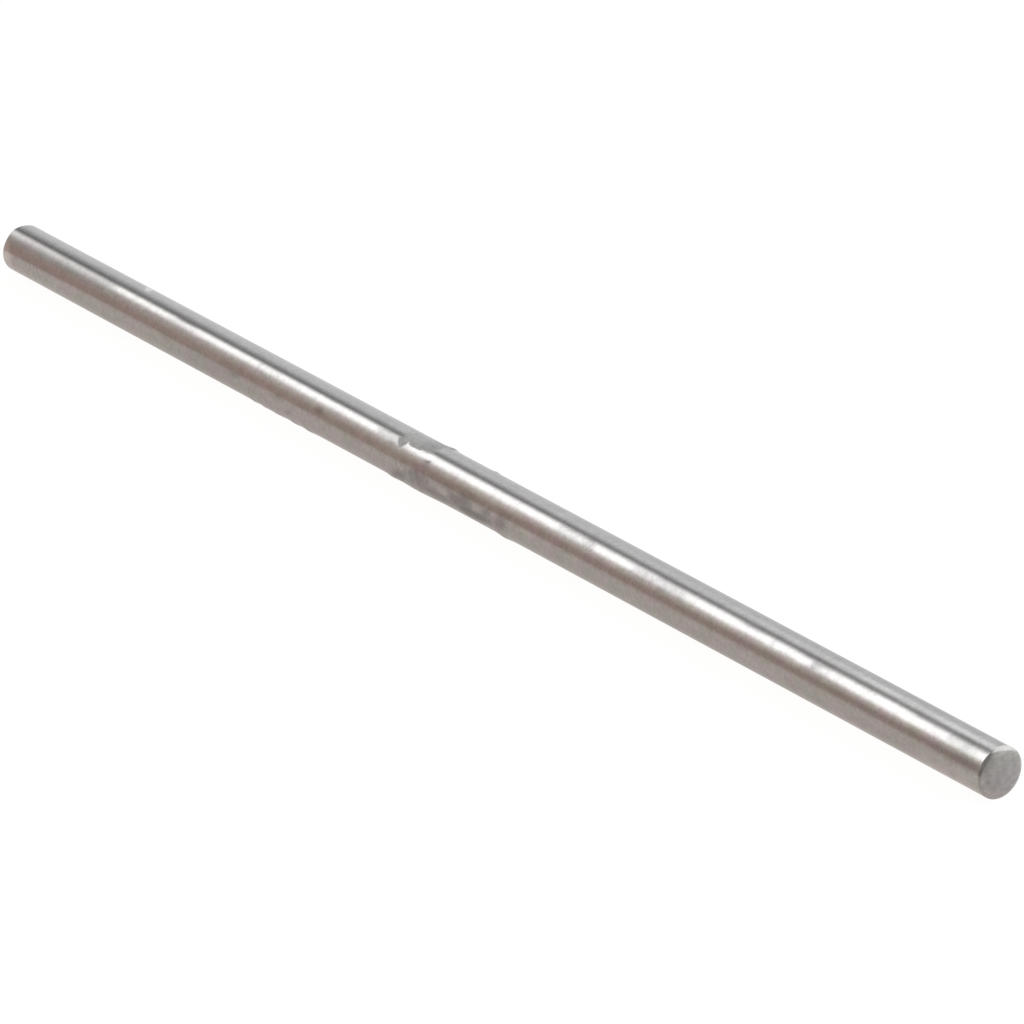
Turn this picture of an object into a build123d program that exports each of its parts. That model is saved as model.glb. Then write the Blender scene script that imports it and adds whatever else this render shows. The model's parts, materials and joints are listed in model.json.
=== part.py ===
"""Plain plug gauge: one hardened steel gauge pin, ground to size and lapped flat on both ends.

The pin lies along X, with the origin on its axis at mid-length and +Z up. Lengths are in millimetres.
"""

from build123d import *

import os

# Driving dimensions
gauge_diameter = 1.6  # the size of the hole that the pin checks
gauge_length = 50.0  # from one lapped end face to the other
lead_depth = 0.10  # what each lead chamfer takes off the radius, on the end face
lead_length = 0.06  # what it takes off the ground cylinder, along the axis
face_edge_radius = 0.12  # worn edge between an end face and its lead chamfer
rim_edge_radius = 0.012  # stoned edge between a lead chamfer and the ground cylinder

wall = gauge_diameter / 2
end = gauge_length / 2

# Gauge pin: half of its section, turned about its axis
with BuildPart() as gauge_pin:
    with BuildSketch(Plane.XZ) as section:
        with BuildLine():
            Polyline(
                (-end, 0),
                (-end, wall - lead_depth),
                (-end + lead_length, wall),
                (end - lead_length, wall),
                (end, wall - lead_depth),
                (end, 0),
                close=True,
            )
        make_face()
        face_corners = section.vertices().group_by(Axis.Y)[1]
        fillet(face_corners, radius=face_edge_radius)
        rim_corners = section.vertices().group_by(Axis.Y)[-1]
        fillet(rim_corners, radius=rim_edge_radius)
    revolve(axis=Axis.X)

gauge_pin.part.label = "gauge_pin"

os.makedirs("parts", exist_ok=True)
export_step(gauge_pin.part, "parts/gauge_pin.step")
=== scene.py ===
"""Looks of the plug gauge: one ground steel gauge pin on a plain pale floor. Blender 4.5, in metres."""

import json
import math

import bpy
from mathutils import Matrix, Vector


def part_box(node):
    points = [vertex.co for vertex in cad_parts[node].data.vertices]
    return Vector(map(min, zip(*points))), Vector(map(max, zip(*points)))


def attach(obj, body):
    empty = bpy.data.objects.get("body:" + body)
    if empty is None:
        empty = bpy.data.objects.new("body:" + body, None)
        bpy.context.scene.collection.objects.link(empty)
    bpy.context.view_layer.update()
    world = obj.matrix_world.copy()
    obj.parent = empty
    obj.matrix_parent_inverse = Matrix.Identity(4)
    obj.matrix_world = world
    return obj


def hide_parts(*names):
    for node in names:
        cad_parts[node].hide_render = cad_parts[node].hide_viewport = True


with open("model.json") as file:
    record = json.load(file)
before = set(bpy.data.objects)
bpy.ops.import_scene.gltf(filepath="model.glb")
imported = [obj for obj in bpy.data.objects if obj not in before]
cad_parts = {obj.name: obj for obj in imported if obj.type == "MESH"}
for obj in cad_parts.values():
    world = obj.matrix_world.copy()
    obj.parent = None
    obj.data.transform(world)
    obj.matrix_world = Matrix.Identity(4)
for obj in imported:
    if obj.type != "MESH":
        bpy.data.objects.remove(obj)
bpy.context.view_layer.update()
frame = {"record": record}

# ---------------------------------------------------------------- sizes
MM = 0.001
low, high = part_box("gauge_pin")
mounts = {mount["name"]: mount for mount in frame["record"]["mounts"]}
pin_length = high.x - low.x
pin_radius = mounts["gauge_diameter"]["dims"]["r_mm"] * MM
lead_depth = 0.10 * MM  # what a lead chamfer takes off the radius
lead_length = 0.06 * MM  # and along the axis
lead_tilt = math.atan2(lead_length, lead_depth)  # between the end face's normal and the chamfer's
rim_break = 0.012 * MM  # radius of the stoned edge between the ground cylinder and a lead chamfer
face_break = 0.12 * MM  # radius of the worn edge between a lead chamfer and its lapped face
face_flat = 0.34 * MM  # beyond this radius a lapped face falls away a little
face_roll = math.radians(7)  # by this much where it meets the worn edge
face_corner = pin_radius - lead_depth  # radius where a lead chamfer and its end face would meet
rim_setback = rim_break * math.tan((math.pi / 2 - lead_tilt) / 2)
# Where hand stoning left a chamfer wider: degrees round it from the top towards the front, half width in
# degrees, millimetres gained across the end face, and millimetres gained along the pin. Of the sum of the
# last, only the size counts: opposite signs keep two neighbours apart, with no gain between them.
lead_wear = [
    (-11.0, 21.0, 0.062, 0.065),
    (58.0, 26.0, 0.030, -0.020),
    (125.0, 35.0, 0.012, 0.0),
]
floor_height = -pin_radius

# ---------------------------------------------------------------- the camera
camera_azimuth = math.radians(53.39)
camera_elevation = math.radians(23.55)
camera_distance = 240.58 * MM
camera_aim_right = -1.147 * MM  # the pin's middle stands this far right of the view's centre
camera_aim_up = 0.659 * MM  # and this far above it
sensor_width = 36.0
lens = 277.63


def add_camera():
    """The camera, level from side to side, with the pin's near end towards it."""
    sin_a, cos_a = math.sin(camera_azimuth), math.cos(camera_azimuth)
    sin_e, cos_e = math.sin(camera_elevation), math.cos(camera_elevation)
    right = Vector((cos_a, sin_a, 0))
    forward = Vector((-sin_a * cos_e, cos_a * cos_e, -sin_e))
    up = right.cross(forward)
    place = -(camera_aim_right * right + camera_aim_up * up + camera_distance * forward)
    data = bpy.data.cameras.new("camera")
    data.sensor_width = sensor_width
    data.lens = lens
    data.clip_start = 0.005
    data.clip_end = 50
    camera = bpy.data.objects.new("camera", data)
    turn = Matrix((right, up, -forward)).transposed()
    camera.matrix_world = Matrix.Translation(place) @ turn.to_4x4()
    bpy.context.scene.collection.objects.link(camera)
    bpy.context.scene.camera = camera


# ---------------------------------------------------------------- the pin's mesh
around = 192  # facets round the pin
rim_steps = 5  # facets along each stoned edge
face_steps = 10  # facets along each worn edge of an end face,
matt_steps = 2  # and how many of them are still lapped
roll_steps = 8  # rings where a lapped face falls away
edge_ring = 0.004 * MM  # a ring this close to each stoned edge keeps its shading off the flat beside it
rim_zone = 0.2 * MM  # the rings this close to an end move with its chamfer's outer edge
coarse_step = 0.5 * MM  # from ring to ring along the straight cylinder, and
fine_step = 0.05 * MM  # where film and dirt stand proud of it,
fine_from, fine_to = -11.4 * MM, 2.9 * MM  # which is between these places
GROUND, LAPPED, LEAD = 0, 1, 2  # material places on the mesh


def end_profile():
    """From the middle of an end face out: depth from the face, radius, material, and whether worn by hand."""
    fall = 0.5 * math.tan(face_roll) * (face_corner - face_flat)
    centre_depth = fall + face_break * math.cos(face_roll)
    reach = (centre_depth * math.cos(lead_tilt) - face_break) / math.sin(lead_tilt)
    centre_radius = face_corner + reach
    face_radius = centre_radius + face_break * math.sin(face_roll)
    points = [(0.0, face_flat * share, LAPPED, 1) for share in (0.0, 0.5, 1.0)]
    for step in range(1, roll_steps + 1):
        share = step / roll_steps
        points.append((fall * share ** 2, face_flat + (face_radius - face_flat) * share, LAPPED, 1))
    for step in range(1, face_steps + 1):
        turn = face_roll + (lead_tilt - face_roll) * step / face_steps
        depth = centre_depth - face_break * math.cos(turn)
        kind = LEAD if step > matt_steps else LAPPED
        points.append((depth, centre_radius + face_break * math.sin(turn), kind, 1))
    centre_depth, centre_radius = lead_length + rim_setback, pin_radius - rim_break
    for step in range(rim_steps + 1):
        turn = lead_tilt + (math.pi / 2 - lead_tilt) * step / rim_steps
        depth = centre_depth - rim_break * math.cos(turn)
        radius = centre_radius + rim_break * math.sin(turn)
        if step == 0:
            inner = (depth - edge_ring * math.sin(turn), radius - edge_ring * math.cos(turn))
            points.append((*inner, LEAD, 0))
        points.append((depth, radius, LEAD, 0))
    return points


def degrees_round(turn):
    """An angle round the pin in degrees, from -180 to 180, with 0 at the top."""
    return (math.degrees(turn) + 180) % 360 - 180


def spaced(start, stop, step):
    """Even places from start up to, but not including, stop."""
    count = math.ceil((stop - start) / step)
    return [start + (stop - start) * index / count for index in range(count)]


def lump_height(x, turn):
    """How far film and dirt stand out from the cylinder at a place along it and an angle round it."""
    total = 0.0
    for along, middle, half_length, half_turn, height in lumps:
        reach = ((x / MM - along) / half_length) ** 2 + ((degrees_round(turn) - middle) / half_turn) ** 2
        total += height * math.exp(-reach)
    return total * MM


def lathe_profile():
    """The whole pin, from end face to end face: x, radius, material, and whether worn by hand."""
    end = end_profile()
    left = [(-pin_length / 2 + depth, *rest) for depth, *rest in end]
    right = [(pin_length / 2 - depth, *rest) for depth, *rest in reversed(end)]
    start, stop = left[-1][0] + edge_ring, right[0][0] - edge_ring
    places = spaced(start, fine_from, coarse_step) + spaced(fine_from, fine_to, fine_step)
    places += spaced(fine_to, stop, coarse_step) + [stop]
    return left + [(x, pin_radius, GROUND, 0) for x in places] + right


def wear(turn):
    """What a lead chamfer gains by wear at an angle round it: across the end face, and along the pin."""
    across, along = 0.0, 0.0
    for middle, half_width, across_gain, along_gain in lead_wear:
        share = math.exp(-(((degrees_round(turn) - middle) / half_width) ** 2))
        across += across_gain * share
        along += along_gain * share
    return across * MM, along * MM


def ring_vertices(x, radius, kind, worn):
    """One ring of vertices round the pin, with the lumps on the cylinder and the wear of the chamfers."""
    outer_rim = not worn and abs(x) > pin_length / 2 - rim_zone
    vertices = []
    for step in range(around):
        turn = 2 * math.pi * step / around
        across, along = wear(turn)
        reach = radius + lump_height(x, turn) if kind == GROUND else radius
        reach -= worn * across * radius / face_corner
        place = x - math.copysign(along, x) if outer_rim else x
        vertices.append((place, -reach * math.sin(turn), reach * math.cos(turn)))
    return vertices


def pin_faces(rings):
    """Quads from ring to ring and a fan over each end, and the material of each.

    The middles of the two ends come after the rings' vertices.
    """
    faces, kinds = [], []
    for number, (ring, following) in enumerate(zip(rings, rings[1:])):
        outer = ring if ring[0] > 0 else following
        straight = ring[1] == following[1] == pin_radius
        here, there = number * around, (number + 1) * around
        for step in range(around):
            after = (step + 1) % around
            faces.append((here + step, there + step, there + after, here + after))
            kinds.append(GROUND if straight else outer[2])
    last_ring = (len(rings) - 1) * around
    middle = len(rings) * around
    for step in range(around):
        after = (step + 1) % around
        faces.append((middle, step, after))
        faces.append((middle + 1, last_ring + after, last_ring + step))
        kinds += [LAPPED, LAPPED]
    return faces, kinds


def build_pin():
    """The pin as one lathed mesh with three materials."""
    first, *rings, last = lathe_profile()
    vertices = [vertex for ring in rings for vertex in ring_vertices(*ring)]
    vertices += [(first[0], 0, 0), (last[0], 0, 0)]
    faces, kinds = pin_faces(rings)
    mesh = bpy.data.meshes.new("ground_pin")
    mesh.from_pydata(vertices, [], faces)
    mesh.update()
    mesh.shade_smooth()
    for material in (ground_steel(), lapped_steel(), lead_steel()):
        mesh.materials.append(material)
    mesh.polygons.foreach_set("material_index", kinds)
    pin = bpy.data.objects.new("ground_pin", mesh)
    bpy.context.scene.collection.objects.link(pin)
    return pin


# ---------------------------------------------------------------- node graphs
class Graph:
    """A short way to write a node tree: each call adds one node and gives its output."""

    def __init__(self, tree):
        self.tree = tree

    def node(self, kind, inputs=(), **settings):
        node = self.tree.nodes.new(kind)
        for name, value in settings.items():
            setattr(node, name, value)
        for name, value in dict(inputs).items():
            self.feed(node.inputs[name], value)
        return node

    def feed(self, socket, value):
        if isinstance(value, bpy.types.NodeSocket):
            self.tree.links.new(value, socket)
        elif isinstance(value, tuple) and len(value) == 3 and socket.type == "RGBA":
            socket.default_value = (*value, 1)
        else:
            socket.default_value = value

    def math(self, operation, *values):
        node = self.node("ShaderNodeMath", operation=operation)
        for socket, value in zip(node.inputs, values):
            self.feed(socket, value)
        return node.outputs[0]

    def map(self, value, start, stop, low=0.0, high=1.0):
        """low where the value is below start, high above stop, smooth between them."""
        node = self.node("ShaderNodeMapRange", interpolation_type="SMOOTHSTEP")
        names = ("Value", "From Min", "From Max", "To Min", "To Max")
        for name, number in zip(names, (value, start, stop, low, high)):
            self.feed(node.inputs[name], number)
        return node.outputs["Result"]

    def blend(self, share, first, second):
        """Colour first where share is 0, second where it is 1."""
        node = self.node("ShaderNodeMix", data_type="RGBA")
        self.feed(node.inputs[0], share)
        self.feed(node.inputs[6], first)
        self.feed(node.inputs[7], second)
        return node.outputs[2]

    def mix(self, share, first, second):
        """Number first where share is 0, second where it is 1."""
        node = self.node("ShaderNodeMix", data_type="FLOAT")
        self.feed(node.inputs[0], share)
        self.feed(node.inputs[2], first)
        self.feed(node.inputs[3], second)
        return node.outputs[0]

    def fade(self, value, start, stop, first, second):
        """Colour first where the value is below start, second above stop, smooth between them."""
        return self.blend(self.map(value, start, stop), first, second)

    def ladder(self, value, colour, *rungs):
        """A colour that gives way to each rung's in turn, as the value rises from its start to its stop."""
        for start, stop, following in rungs:
            colour = self.fade(value, start, stop, colour, following)
        return colour

    def product(self, first, *others):
        """Several numbers multiplied together."""
        for other in others:
            first = self.math("MULTIPLY", first, other)
        return first

    def degrees(self, rise, run):
        """The angle in degrees of a direction that goes this far up and this far along."""
        return self.math("MULTIPLY", self.math("ARCTAN2", rise, run), 180 / math.pi)

    def degrees_round(self, axes):
        """The angle round the pin in degrees, from the top towards the front."""
        return self.degrees(self.math("MULTIPLY", axes[1], -1.0), axes[2])

    def axes(self, vector):
        return self.node("ShaderNodeSeparateXYZ", {"Vector": vector}).outputs

    def scaled(self, vector, scale):
        node = self.node("ShaderNodeVectorMath", operation="MULTIPLY")
        self.feed(node.inputs[0], vector)
        self.feed(node.inputs[1], scale)
        return node.outputs[0]

    def noise(self, place, scale, detail=2.0):
        """Cloudy values about 0.5; scale is in clouds a millimetre, one number or one each for X, Y and Z."""
        scales = scale if isinstance(scale, tuple) else (scale, scale, scale)
        vector = self.scaled(place, tuple(number / MM for number in scales))
        inputs = {"Vector": vector, "Scale": 1.0, "Detail": detail}
        return self.node("ShaderNodeTexNoise", inputs).outputs[0]

    def vary(self, noise, low, high):
        """Noise drawn out so that nearly all of it runs from low to high."""
        return self.map(noise, 0.3, 0.7, low, high)


# ---------------------------------------------------------------- materials
steel_colour = (0.50, 0.49, 0.48)
steel_rosy = (0.517, 0.481, 0.487)  # the two casts that the ground steel drifts between
steel_olive = (0.485, 0.499, 0.464)
# the cast where stains and painted shade darken the steel
steel_under_marks_and_shade = (0.496, 0.484, 0.479)
lapped_rosy = (0.421, 0.402, 0.396)  # the lapped faces, below their middle
lapped_olive = (0.429, 0.423, 0.406)  # near their top
lapped_low = (0.455, 0.434, 0.427)  # and near their bottom
film_pale = (0.50, 0.50, 0.495)  # dried film on the steel, a dull grey: thin at its -X side
film_dark = (0.390, 0.388, 0.386)  # and thick at its +X side
cast_shift = 0.9 * MM  # how far noise moves the borders between those casts up and down
rim_painted_tone = 1.05  # the tone painted on a lapped face by its rim, as painted light
rim_from, rim_to = 0.50 * MM, 0.66 * MM  # radii over which that tone comes in
rim_softness = 14.0  # degrees that a painted patch takes to fade, on either side of its edge
# Painted highlights and shade on a lapped face by that rim: degrees round it from the top towards the front,
# half width in degrees, and tone
rim_painted_patches = [(-7.0, 22.0, 1.28), (50.0, 24.0, 0.82), (116.0, 38.0, 1.22)]
veil_tone = 0.76  # what an even veil of oil leaves of the steel's tone
ground_roughness = 0.16
veiled_roughness = 0.205  # the ground steel's under a veil of oil
film_roughness = 0.6
lapped_roughness = 0.42
lead_roughness = 0.2
line_height, wave_height = 0.4, 130.0  # grinding lines and long shallow waves, in units of
bump_unit = 0.00003 * MM

# Marks on the ground cylinder, of use and of painted light and shade: millimetres along the pin from its
# middle, degrees round it from the top towards the front, half length in millimetres, half width in degrees,
# and strength. A slant is the millimetres that a mark runs towards -X for each degree round.
films = [  # dried on
    (-2.53, 6.0, 0.76, 20.5, 1.0),
    (-2.49, 22.0, 0.37, 10.6, 1.0),
    (-2.02, -9.5, 0.36, 33.5, 0.90),
]
film_tip = (-3.14, 25.0, 0.24, 24.0, 1.0)  # a tongue that hangs from the dried film's lower edge,
film_tip_slant = -0.003
film_tip_root = (22.0, 26.0)  # and the degrees round between which it comes out of the film
# Darker places on and by the highlight: some are stains, most are painted shade that dims the highlight or
# narrows it where its edges wander.
stains_and_painted_shade = [
    (-18.80, 43.0, 0.22, 5.0, 0.10),
    (-18.30, 49.0, 0.45, 6.0, 0.08),
    (-16.45, 47.0, 0.50, 5.0, 0.08),
    (-15.02, 35.0, 0.60, 10.0, 0.12),
    (-14.92, 26.0, 0.50, 4.0, 0.27),
    (-10.74, 36.0, 0.12, 7.0, 0.16),
    (-10.65, 43.0, 0.20, 5.0, 0.12),
    (-10.04, 36.0, 0.50, 9.0, 0.05),
    (-7.19, 60.0, 0.20, 9.0, 0.26),
    (-6.85, 26.0, 0.25, 4.0, 0.12),
    (-3.99, 35.0, 0.45, 10.0, 0.29),
    (-3.45, 41.0, 0.22, 10.0, 0.22),
    (-2.95, 42.0, 0.50, 9.0, 0.06),
    (-2.10, 33.0, 0.28, 3.0, 0.12),
    (-1.66, 48.0, 0.12, 3.0, 0.34),
    (-1.64, 57.0, 0.26, 9.0, 0.12),
    (-1.54, 45.0, 0.08, 3.0, 0.32),
    (5.46, 38.0, 0.60, 11.0, 0.19),
    (5.60, 30.0, 0.75, 5.0, 0.16),
    (6.40, 48.0, 0.60, 5.0, 0.08),
    (6.46, 38.0, 0.26, 12.0, 0.30),
    (7.00, 30.0, 1.00, 5.0, 0.06),
    (8.45, 47.0, 0.35, 5.0, 0.08),
    (8.80, 34.0, 0.50, 8.0, 0.20),
    (9.05, 47.0, 0.45, 9.0, 0.20),
    (9.60, 31.0, 0.50, 5.0, 0.07),
    (10.36, 40.0, 1.10, 14.0, 0.25),
    (14.25, 30.0, 0.50, 6.0, 0.22),
    (14.40, 49.0, 0.50, 5.0, 0.12),
    (15.28, 38.0, 0.10, 12.0, 0.12),
    (16.05, 48.0, 0.40, 5.0, 0.14),
    (17.20, 28.0, 0.75, 8.0, 0.20),
    (17.22, 39.0, 0.22, 10.0, 0.34),
    (17.33, 52.0, 0.50, 8.0, 0.18),
    (17.55, 39.0, 0.35, 8.0, 0.10),
    (18.30, 53.0, 0.50, 6.0, 0.10),
    (22.60, 29.0, 0.80, 4.0, 0.08),
    (23.75, 38.0, 0.50, 15.0, 0.19),
    (24.40, 40.0, 0.40, 12.0, 0.07),
]
mark_slant = 0.011
low_stains_and_shade = [  # darker places low down, with that slant: those from -3 to 2.4 mm are stains by the dried film, the one at 23.9 mm is painted shade
    (-13.00, 100.0, 2.60, 34.0, 0.05),
    (-12.53, 98.0, 0.70, 18.0, 0.05),
    (-11.65, 82.0, 0.30, 8.0, 0.16),
    (-9.35, 82.0, 0.35, 8.0, 0.12),
    (-8.80, 105.0, 0.15, 8.0, 0.14),
    (-2.95, 116.0, 0.35, 20.0, 0.33),
    (-2.20, 112.0, 0.25, 9.0, 0.14),
    (-1.89, 91.0, 0.48, 14.0, 0.24),
    (-1.04, 113.0, 0.80, 12.0, 0.22),
    (-0.04, 101.0, 2.70, 33.0, 0.15),
    (0.36, 91.0, 0.52, 18.0, 0.24),
    (0.96, 112.0, 0.70, 14.0, 0.36),
    (1.68, 84.0, 0.16, 12.0, 0.20),
    (2.38, 93.0, 0.30, 20.0, 0.20),
    (23.90, 70.0, 1.00, 18.0, 0.12),
]
veil = (-24.40, 57.0, 5.05, 40.0, 1.0)  # an even grey film with a clear edge
veil_slant = 0.021
veil_foot = (46.0, 64.0)  # degrees round between which it ends
# Lighter places: a few low down near the middle are paler marks; the rest are painted glints and reflections
# at the far rim, on the edges of the highlight, and in the bands above and below it.
pale_marks_and_glints = [
    (-24.95, 92.0, 0.42, 32.0, 0.42),
    (-24.90, 20.0, 0.25, 14.0, 0.07),
    (-18.55, 99.0, 0.10, 6.0, 0.12),
    (-13.20, 69.0, 1.00, 7.0, 0.06),
    (-8.15, 84.0, 0.15, 5.0, 0.10),
    (-6.75, 50.0, 0.35, 5.0, 0.05),
    (-1.04, 83.0, 0.30, 6.0, 0.12),
    (-0.54, 91.0, 0.30, 8.0, 0.20),
    (1.18, 90.0, 0.24, 9.0, 0.18),
    (1.60, 57.0, 0.60, 7.0, 0.08),
    (1.96, 81.0, 0.13, 5.0, 0.12),
    (2.55, 54.0, 0.40, 8.0, 0.08),
    (3.66, 82.0, 0.28, 5.0, 0.12),
    (14.30, 104.0, 1.30, 12.0, 0.05),
    (15.65, 102.0, 0.50, 12.0, 0.07),
    (19.75, 9.0, 0.70, 6.0, 0.15),
    (20.75, 30.0, 0.80, 5.0, 0.25),
    (21.70, 50.0, 0.60, 5.0, 0.10),
    (23.30, 12.0, 1.10, 6.0, 0.14),
]
painted_high_glints = [  # a painted glint near the top, with the opposite slant
    (-17.88, -14.0, 0.17, 13.0, 0.55),
]
# Where film or dirt stands proud of the steel: as above, with its height in millimetres for its strength
lumps = [
    (-10.95, 136.0, 0.15, 16.0, 0.018),
    (-10.35, 137.0, 0.22, 16.0, 0.018),
    (-9.70, 136.0, 0.38, 16.0, 0.024),
    (-8.75, 138.0, 0.22, 16.0, 0.022),
    (-7.98, 138.0, 0.25, 16.0, 0.024),
    (-3.50, 136.0, 0.26, 16.0, 0.028),
    (-2.20, 138.0, 0.95, 18.0, 0.036),
    (-1.76, -36.0, 0.20, 24.0, 0.030),
    (-1.64, -34.0, 0.08, 16.0, 0.022),
    (0.56, -34.0, 0.07, 12.0, 0.024),
    (2.25, 138.0, 0.30, 16.0, 0.034),
]


class Surface:
    """Places on the ground cylinder, ragged a little by noise so that no mark has a clean rim."""

    def __init__(self, graph):
        self.graph = graph
        self.place = graph.node("ShaderNodeTexCoord").outputs["Object"]
        axes = graph.axes(self.place)
        self.along = graph.math("DIVIDE", axes[0], MM)
        self.turn = graph.degrees_round(axes)
        self.ragged = graph.math("SUBTRACT", graph.noise(self.place, 3.5, 4.0), 0.5)

    def patch(self, mark, ragged, softness, squareness=2.0, lean=0.0):
        """A mark's strength in its middle, half of it at its rim, and nothing beyond.

        Its rim is an ellipse, or nearer to a box with more squareness. Lean is its slant towards -X.
        """
        along, turn, half_length, half_turn, strength = mark
        graph = self.graph
        place = graph.math("MULTIPLY_ADD", self.turn, lean, self.along) if lean else self.along
        offset = graph.math("SUBTRACT", place, along + lean * turn)
        across = graph.math("ABSOLUTE", graph.math("DIVIDE", offset, half_length))
        offset = graph.math("SUBTRACT", self.turn, turn)
        down = graph.math("ABSOLUTE", graph.math("DIVIDE", offset, half_turn))
        across, down = [graph.math("POWER", part, squareness) for part in (across, down)]
        reach = graph.math("POWER", graph.math("ADD", across, down), 1.0 / squareness)
        reach = graph.math("MULTIPLY_ADD", self.ragged, ragged, reach)
        return graph.map(reach, 1.0 - softness, 1.0 + softness, strength, 0.0)

    def film(self):
        """How much of the steel the dried film covers: the most that any of its patches does."""
        tip = self.patch(film_tip, ragged=0.3, softness=0.32, squareness=1.4, lean=film_tip_slant)
        total = self.graph.product(tip, self.graph.map(self.turn, *film_tip_root))
        for mark in films:
            patch = self.patch(mark, ragged=0.6, softness=0.28, squareness=3.0)
            total = self.graph.math("MAXIMUM", patch, total)
        return total

    def clear(self, marks, lean=0.0):
        """What the stains and painted shade leave of the steel's tone: they darken each other where they
        overlap.
        """
        total = 1.0
        for mark in marks:
            patch = self.patch(mark, ragged=1.4, softness=0.6, lean=lean)
            total = self.graph.product(self.graph.math("SUBTRACT", 1.0, patch), total)
        return total

    def veiled(self):
        """How much of the steel the veil of oil covers."""
        patch = self.patch(veil, ragged=0.1, softness=0.04, squareness=8.0, lean=veil_slant)
        return self.graph.product(self.graph.map(self.turn, *veil_foot, 1.0, 0.0), patch)

    def glints(self, marks, lean=0.0):
        """What the pale marks and painted glints add to the steel's tone."""
        total = 0.0
        for mark in marks:
            total = self.graph.math("ADD", self.patch(mark, ragged=1.0, softness=0.6, lean=lean), total)
        return total


def new_steel(name):
    material = bpy.data.materials.new(name)
    material.use_nodes = True
    shader = material.node_tree.nodes["Principled BSDF"]
    shader.inputs["Metallic"].default_value = 1
    return material, Graph(material.node_tree), shader


def ground_colour(surface, mottle, speckle, veiled):
    """The ground steel's colour, with its mottle, stains and paler marks, painted shade and glints, and the
    veil of oil.
    """
    graph = surface.graph
    clouds = graph.noise(surface.place, 1.4)
    clear = graph.product(surface.clear(stains_and_painted_shade), surface.clear(low_stains_and_shade, mark_slant))
    tone = graph.product(graph.vary(clouds, 0.97, 1.03), graph.vary(mottle, 0.95, 1.05))
    tone = graph.product(tone, graph.vary(speckle, 0.95, 1.05), clear, graph.mix(veiled, 1.0, veil_tone))
    tone = graph.math("ADD", tone, surface.glints(pale_marks_and_glints))
    tone = graph.math("ADD", tone, surface.glints(painted_high_glints, -mark_slant))
    hue = graph.noise(surface.place, 1.5, 3.0)
    cast = graph.fade(hue, 0.35, 0.65, steel_rosy, steel_olive)
    plain = graph.map(surface.turn, 32.0, 58.0, 0.75, 0.0)
    cast = graph.blend(plain, cast, steel_colour)
    cast = graph.fade(clear, 0.5, 1.0, steel_under_marks_and_shade, cast)
    return graph.scaled(cast, tone)


def film_colour(surface, mottle, speckle):
    """The dried film's colour."""
    graph = surface.graph
    tone = graph.product(graph.vary(mottle, 0.92, 1.08), graph.vary(speckle, 0.90, 1.10))
    return graph.scaled(graph.fade(surface.along, -2.8, -1.7, film_pale, film_dark), tone)


def ground_steel():
    """The ground cylinder: fine grinding lines round it, a faint mottle, its marks of use, and painted shade
    and glints.
    """
    material, graph, shader = new_steel("ground_steel")
    surface = Surface(graph)
    mottle = graph.noise(surface.place, 5.0, 3.0)
    speckle = graph.noise(surface.place, 12.0)
    veiled = surface.veiled()
    film = surface.film()
    steel = ground_colour(surface, mottle, speckle, veiled)
    dried = film_colour(surface, mottle, speckle)
    graph.feed(shader.inputs["Base Color"], graph.blend(film, steel, dried))
    graph.feed(shader.inputs["Metallic"], graph.math("SUBTRACT", 1.0, film))
    roughness = graph.mix(veiled, ground_roughness, veiled_roughness)
    graph.feed(shader.inputs["Roughness"], graph.mix(film, roughness, film_roughness))
    lines = graph.product(graph.noise(surface.place, (9.0, 0.3, 0.3), 3.0), line_height)
    waves = graph.noise(surface.place, (0.25, 1.2, 1.2))
    height = graph.math("MULTIPLY_ADD", waves, wave_height, lines)
    bump = graph.node("ShaderNodeBump", {"Height": height, "Strength": 1.0, "Distance": bump_unit})
    graph.feed(shader.inputs["Normal"], bump.outputs[0])
    return material


def painted_rim_light(graph, place):
    """The tone painted on a lapped face by its rim: painted highlights at the top and low at the front,
    painted shade between them, over a rim painted a little lighter.
    """
    turn = graph.degrees_round(graph.axes(place))
    crosswise = graph.scaled(place, (0.0, 1.0, 1.0))
    radius = graph.node("ShaderNodeVectorMath", {0: crosswise}, operation="LENGTH").outputs["Value"]
    tone = rim_painted_tone
    # each patch is a painted highlight or a painted shade
    for middle, half, level in rim_painted_patches:
        away = graph.math("ABSOLUTE", graph.math("SUBTRACT", turn, middle))
        rim_patch = graph.map(away, half - rim_softness, half + rim_softness, level, 1.0)
        tone = graph.product(rim_patch, tone)
    return graph.mix(graph.map(radius, rim_from, rim_to), 1.0, tone)


def lapped_steel():
    """The lapped end faces: matt, with a fine even grain, three casts from bottom to top, and painted light
    and shade by their rim.
    """
    material, graph, shader = new_steel("lapped_steel")
    place = graph.node("ShaderNodeTexCoord").outputs["Object"]
    grain = graph.noise(place, (8.0, 5.0, 8.0), 4.0)
    ragged = graph.math("SUBTRACT", graph.noise(place, 1.5, 3.0), 0.5)
    height = graph.math("MULTIPLY_ADD", ragged, cast_shift, graph.axes(place)[2])
    cast = graph.fade(height, -0.1 * MM, 0.5 * MM, lapped_rosy, lapped_olive)
    cast = graph.fade(height, -0.7 * MM, -0.4 * MM, lapped_low, cast)
    tone = graph.product(graph.vary(grain, 0.89, 1.11), painted_rim_light(graph, place))
    graph.feed(shader.inputs["Base Color"], graph.scaled(cast, tone))
    shader.inputs["Roughness"].default_value = lapped_roughness
    return material


def lead_steel():
    """The lead chamfers: stoned smooth."""
    material, graph, shader = new_steel("lead_steel")
    grain = graph.noise(graph.node("ShaderNodeTexCoord").outputs["Object"], 5.0, 3.0)
    colour = graph.scaled(steel_colour, graph.vary(grain, 0.92, 1.06))
    graph.feed(shader.inputs["Base Color"], colour)
    shader.inputs["Roughness"].default_value = lead_roughness
    return material


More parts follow.
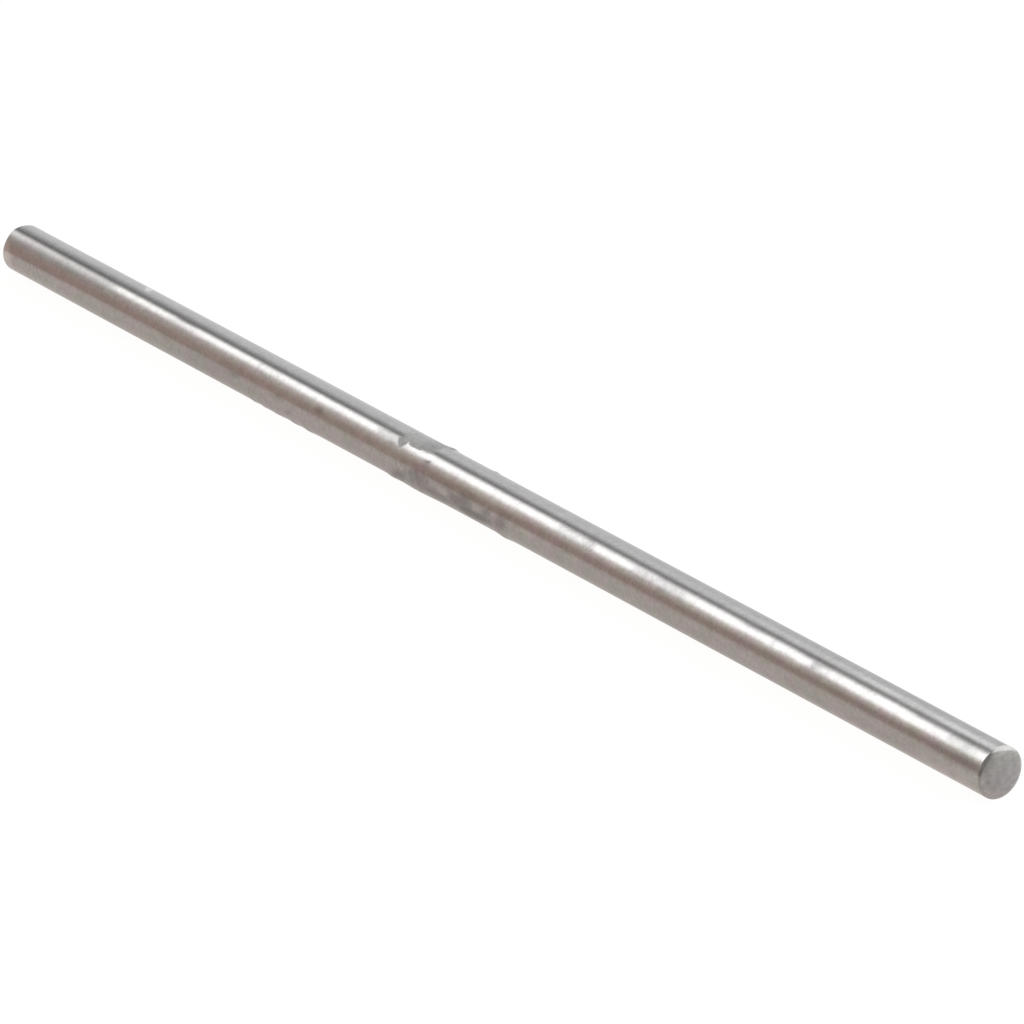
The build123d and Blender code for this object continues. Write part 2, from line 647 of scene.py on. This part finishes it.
# ---------------------------------------------------------------- floor and light
black = (0.0, 0.0, 0.0)
white = (1.0, 1.0, 1.0)
warm_room = (0.48, 0.37, 0.335)  # what stands in front of the pin, low down
floor_size = 4.0  # from its middle to each side
floor_plain = (0.8, 0.78, 0.76)  # the floor for light that it scatters
floor_seen = (0.05, 0.062, 0.088)  # the share of the camera's white that light gives it, to show a shadow
floor_glow = (0.975, 0.967, 0.952)  # and the rest of that white, which it gives by itself
floor_front = (0.667, 0.604, 0.572)  # the floor as the steel mirrors it, in front of the pin
floor_back = (0.66, 0.655, 0.655)  # and behind it


def mirrored_floor(graph):
    """The floor as the steel mirrors it, by millimetres along the pin and across it.

    It carries a painted shadow close by the pin and painted light by both ends, and gives way to the room
    farther out. Beyond the near end it is dark in front, a painted shade, and bright behind.
    """
    axes = graph.axes(graph.node("ShaderNodeTexCoord").outputs["Object"])
    along, across = [graph.math("DIVIDE", axis, MM) for axis in axes[:2]]
    away = graph.math("ABSOLUTE", across)
    behind = graph.map(across, -1.0, 1.0)
    tint = graph.blend(behind, floor_front, floor_back)
    # a painted shadow on the mirrored floor close by the pin
    tint = graph.blend(graph.map(away, 0.2, 2.2, 0.10, 0.0), tint, black)
    front = graph.math("SUBTRACT", 1.0, behind)
    # painted shade on the mirrored floor in front, beyond the near end
    painted_front_shade = graph.product(graph.map(along, 24.9, 25.8), front, 0.2)
    tint = graph.blend(painted_front_shade, tint, black)
    # painted light: the mirrored floor is lighter by both ends, where the painted shadow eases
    far_gain = graph.mix(behind, *[graph.map(along, -24.0, -20.0, gain, 1.0) for gain in (1.03, 1.45)])
    near_front_gain = graph.map(along, 20.5, 23.0, 1.0, 1.12)
    near_back_gain = graph.map(along, 14.0, 18.5, 1.0, 1.34)
    near_gain = graph.mix(behind, near_front_gain, near_back_gain)
    tint = graph.scaled(tint, graph.product(near_gain, far_gain))

    far_floor = graph.fade(along, -3.0, 5.0, (0.80, 0.80, 0.81), (0.71, 0.71, 0.72))
    distant = graph.blend(behind, warm_room, far_floor)
    foot = graph.map(along, -31.0, -22.0, 0.4, 1.0)
    top = graph.map(along, -31.0, -22.0, 3.8, 12.0)
    top = graph.math("ADD", top, graph.map(along, 12.0, 22.0, 0.0, 3.5))
    tint = graph.fade(away, foot, top, tint, distant)
    # beyond the near end: painted shade in front, bright behind
    ahead = graph.math("MAXIMUM", graph.math("SUBTRACT", along, pin_length / 2 / MM), 0.5)
    aside = graph.math("DIVIDE", across, ahead)
    end_floor = graph.fade(aside, 0.18, 0.85, (0.26, 0.25, 0.24), (0.95, 0.95, 0.96))
    return graph.fade(ahead, 1.3, 5.0, tint, end_floor)


def floor_white():
    """White with a shadow for the camera, plain for scattered light, and a room's floor for the steel."""
    material = bpy.data.materials.new("floor_white")
    material.use_nodes = True
    material.node_tree.nodes.clear()
    graph = Graph(material.node_tree)
    rays = graph.node("ShaderNodeLightPath").outputs
    seen = rays["Is Camera Ray"]
    mirrored = graph.math("MAXIMUM", rays["Is Glossy Ray"], rays["Is Transmission Ray"])
    body = graph.blend(seen, graph.blend(mirrored, floor_plain, black), floor_seen)
    pale = graph.node("ShaderNodeBsdfDiffuse", {"Color": body})
    colour = graph.blend(mirrored, floor_glow, mirrored_floor(graph))
    strength = graph.math("MAXIMUM", seen, mirrored)
    glow = graph.node("ShaderNodeEmission", {"Color": colour, "Strength": strength})
    both = graph.node("ShaderNodeAddShader")
    graph.feed(both.inputs[0], pale.outputs[0])
    graph.feed(both.inputs[1], glow.outputs[0])
    output = graph.node("ShaderNodeOutputMaterial")
    graph.feed(output.inputs["Surface"], both.outputs[0])
    return material


def add_floor():
    corners = [(x * floor_size, y * floor_size, 0) for x, y in ((-1, -1), (1, -1), (1, 1), (-1, 1))]
    mesh = bpy.data.meshes.new("floor")
    mesh.from_pydata(corners, [], [(0, 1, 2, 3)])
    mesh.materials.append(floor_white())
    floor = bpy.data.objects.new("floor", mesh)
    floor.location.z = floor_height
    bpy.context.scene.collection.objects.link(floor)


# The studio is laid out by a direction's X and its angle about the pin, from the front over the top to the
# back. All that the cylinder mirrors to the camera has an X close to -0.73, so the colours and edges there go
# by lean, which rises from about -1 for what its far end mirrors to about 1 for what its near end mirrors.
lean_middle = -0.7353
lean_span = 0.04914
lean_limit = 2.0
# Strips beside the pin, as its far end and its near end mirror them
key_far, key_near = (2.10, 2.07, 2.05), (2.40, 2.42, 2.45)
gap_far, gap_near = (0.287, 0.283, 0.291), (0.448, 0.442, 0.450)
rear_far, rear_near = (0.82, 0.834, 0.852), (0.68, 0.693, 0.708)
backdrop_far, backdrop_near = (0.83, 0.844, 0.862), (0.86, 0.875, 0.893)
# Beyond the near end: the camera's side from low to high, its back, what faces the end, and a soft lamp
camera_side_low, camera_side_high = (0.25, 0.235, 0.215), (0.36, 0.345, 0.33)
camera_side_back = (1.42, 1.43, 1.44)
end_dark, end_low, end_high = (0.33, 0.32, 0.31), (0.72, 0.72, 0.72), (1.62, 1.62, 1.62)
lamp_colour = (1.68, 1.70, 1.72)


def side_strips(graph, along, angle):
    """Long soft strips beside the pin: a warm room, haze, the key light, a dark gap, and a backdrop."""
    lean = graph.math("DIVIDE", graph.math("SUBTRACT", along, lean_middle), lean_span)
    lean = graph.math("MAXIMUM", graph.math("MINIMUM", lean, lean_limit), -lean_limit)

    def edge(middle, slope, bend, softness, softness_slope=0.0, drop=0.0):
        """How far the angle is past a strip's edge, which slopes and bends with the lean."""
        rise = graph.math("MULTIPLY_ADD", lean, bend, slope)
        centre = graph.math("SUBTRACT", graph.math("MULTIPLY_ADD", lean, rise, middle), drop)
        half = graph.math("MULTIPLY_ADD", lean, softness_slope, softness)
        return graph.map(angle, graph.math("SUBTRACT", centre, half), graph.math("ADD", centre, half))

    haze = edge(29.5, -2.0, 0.0, 17.0)
    key_start = edge(52.3, -13.0, 4.5, 9.0, drop=graph.map(lean, 0.55, 0.95, 0.0, 3.0))
    key_stop = edge(87.9, -6.6, -2.7, 12.5, 0.5)
    backdrop = edge(114.3, -11.2, 1.7, 15.0, -8.0)
    rear = graph.map(angle, 130.0, 180.0)

    room_level = graph.map(lean, -0.5, 0.9, 1.12, 0.79)
    room_level = graph.product(room_level, graph.map(lean, -0.95, -0.6, 0.84, 1.0))
    haze_colour = graph.ladder(
        lean,
        (0.44, 0.38, 0.355),
        (-0.92, -0.20, (0.82, 0.73, 0.70)),
        (0.15, 0.50, (0.80, 0.71, 0.68)),
        (0.50, 0.90, (1.20, 1.09, 1.05)),
    )
    colour = graph.blend(haze, graph.scaled(warm_room, room_level), haze_colour)
    colour = graph.blend(key_start, colour, graph.fade(lean, -0.95, -0.5, key_far, key_near))
    colour = graph.blend(key_stop, colour, graph.fade(lean, -0.4, 1.0, gap_far, gap_near))
    rear_colour = graph.fade(lean, -0.5, 1.0, rear_far, rear_near)
    back_colour = graph.fade(lean, 0.4, 0.8, backdrop_far, backdrop_near)
    back_colour = graph.blend(rear, back_colour, rear_colour)
    return graph.blend(backdrop, colour, back_colour)


def near_end_room(graph, colour, axes, angle):
    """Beyond the pin's near end: the camera's dark side, a brighter backdrop, and what faces the end."""
    along, across, upward = axes
    rear_rim = graph.map(angle, 125.0, 155.0)
    near_side = graph.map(along, graph.mix(rear_rim, -0.45, -0.66), graph.mix(rear_rim, 0.30, -0.35))
    camera_side = graph.ladder(
        angle,
        camera_side_low,
        (15.0, 50.0, camera_side_high),
        (109.0, 138.0, camera_side_back),
    )
    colour = graph.blend(near_side, colour, camera_side)
    sideways = graph.math("MULTIPLY_ADD", upward, 0.35, across)
    end_glow = graph.fade(upward, -0.1, 0.35, end_low, end_high)
    end_on = graph.fade(sideways, 0.27, 0.84, end_dark, end_glow)
    return graph.fade(along, 0.50, 0.82, colour, end_on)


def soft_lamp(graph, along, angle):
    """How much of a direction a soft lamp fills, high in the backdrop."""
    foot = graph.map(along, -0.45, 0.30, 100.0, 110.0)
    rise = graph.map(angle, foot, graph.math("ADD", foot, 20.0))
    fall = graph.map(angle, 129.0, 146.0, 1.0, 0.0)
    span = graph.product(graph.map(along, -0.74, -0.60), graph.map(along, 0.45, 0.62, 1.0, 0.0))
    return graph.product(rise, fall, span)


def add_world():
    """A studio of long soft strips beside the pin and a room beyond its near end; white for the camera."""
    world = bpy.data.worlds.new("studio")
    world.use_nodes = True
    world.node_tree.nodes.clear()
    graph = Graph(world.node_tree)
    axes = graph.axes(graph.node("ShaderNodeTexCoord").outputs["Generated"])
    along, across, upward = axes
    angle = graph.degrees(upward, graph.math("MULTIPLY", across, -1.0))
    colour = near_end_room(graph, side_strips(graph, along, angle), axes, angle)
    colour = graph.blend(soft_lamp(graph, along, angle), colour, lamp_colour)
    seen = graph.node("ShaderNodeLightPath").outputs["Is Camera Ray"]
    colour = graph.blend(seen, colour, white)
    shine = graph.node("ShaderNodeBackground", {"Color": colour, "Strength": 1.0})
    graph.feed(graph.node("ShaderNodeOutputWorld").inputs["Surface"], shine.outputs[0])
    bpy.context.scene.world = world


add_camera()
pin = build_pin()
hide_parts("gauge_pin")
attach(pin, "root")
add_floor()
add_world()
bpy.context.scene.view_settings.view_transform = "Standard"
